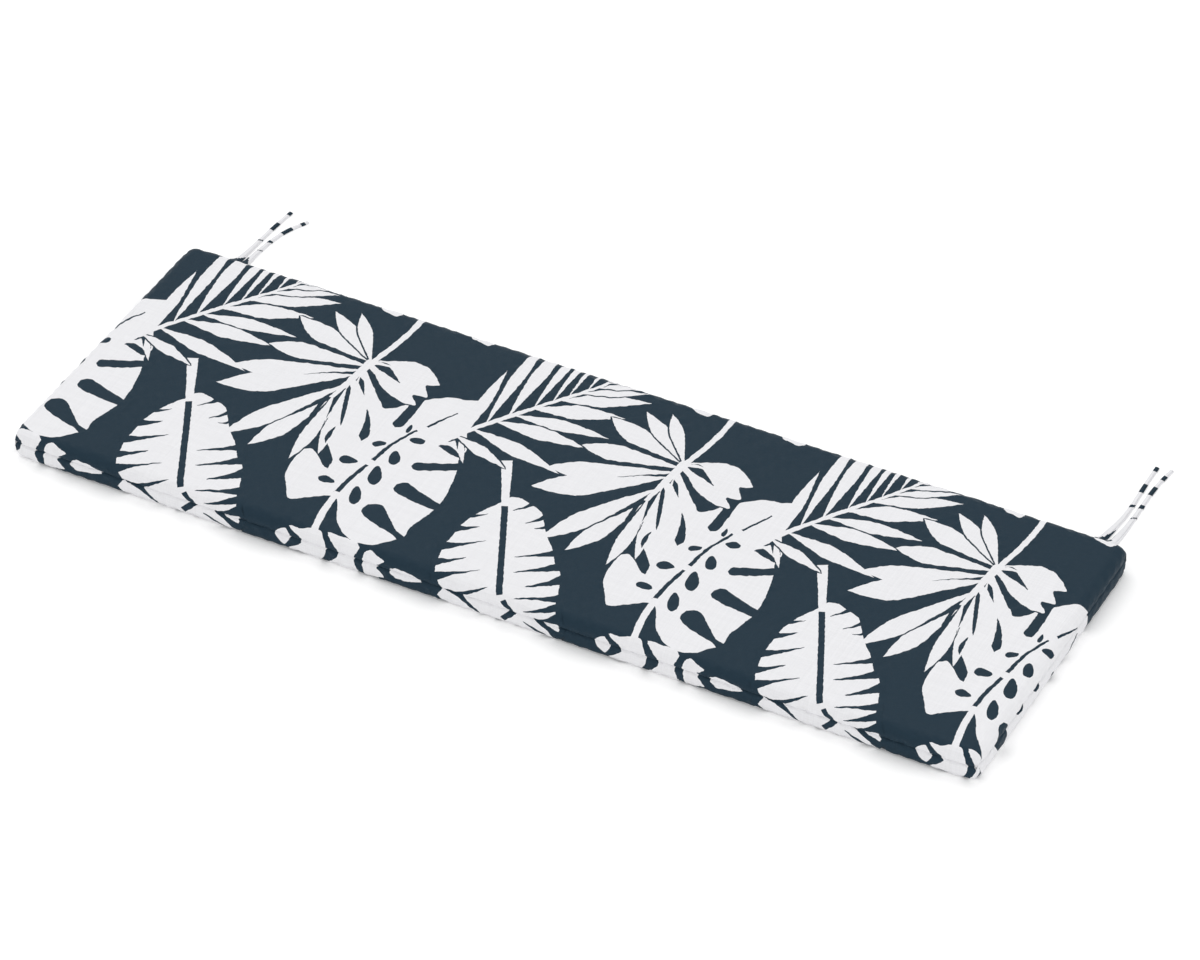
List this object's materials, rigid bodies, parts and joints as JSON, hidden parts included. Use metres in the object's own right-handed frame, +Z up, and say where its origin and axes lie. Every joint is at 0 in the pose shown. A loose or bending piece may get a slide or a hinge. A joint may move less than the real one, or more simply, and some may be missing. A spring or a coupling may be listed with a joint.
{
  "type": "bench cushion",
  "caption": "Long, thin foam bench cushion in leaf-printed canvas, seamed at half height, with pairs of narrow ties at its back corners.",
  "frame": {"origin": "middle of the cushion's underside, on the surface it rests on, measured without the ties", "axes": "+X along the cushion, +Y from the front edge to the back edge with the ties, +Z up through its thickness"},
  "size_m": [1.2, 0.5824, 0.04],
  "materials": {
    "cover": "matt woven canvas, navy ground with an off-white leaf print",
    "ties": "matt folded canvas tape, off-white with navy bands"
  },
  "bodies": {
    "root": {"cushion": "cover", "tie_left_a": "ties", "tie_left_b": "ties", "tie_right_a": "ties", "tie_right_b": "ties"}
  },
  "joints": []
}
